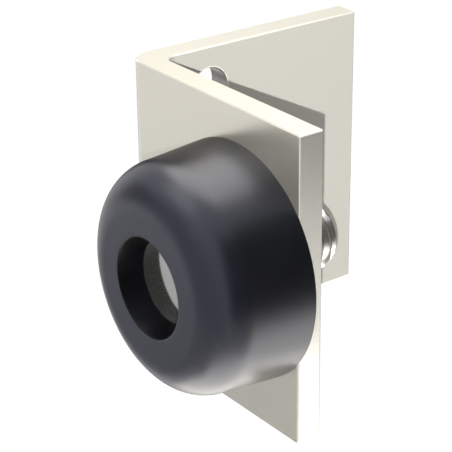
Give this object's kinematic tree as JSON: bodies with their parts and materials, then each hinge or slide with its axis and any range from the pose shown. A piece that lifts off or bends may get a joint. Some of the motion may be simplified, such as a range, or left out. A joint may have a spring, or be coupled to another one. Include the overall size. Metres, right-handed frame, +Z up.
{
  "type": "screw-on door stop",
  "caption": "Wall-fixed door stop: a metal angle bracket with screw holes in one leg and a round rubber buffer, moulded round a bolt, on the other.",
  "frame": {"origin": "on the wall's surface, half-way between the two screw holes", "axes": "+X away from the wall, -Y the way the buffer faces, +Z up along the angle"},
  "size_m": [0.0437, 0.055, 0.0454],
  "materials": {
    "bracket_metal": "satin, silver anodised",
    "bolt_steel": "bright zinc plated",
    "buffer_rubber": "smooth moulded, satin"
  },
  "bodies": {
    "root": {"bracket": "bracket_metal", "bolt": "bolt_steel", "rubber_buffer": "buffer_rubber"}
  },
  "joints": []
}
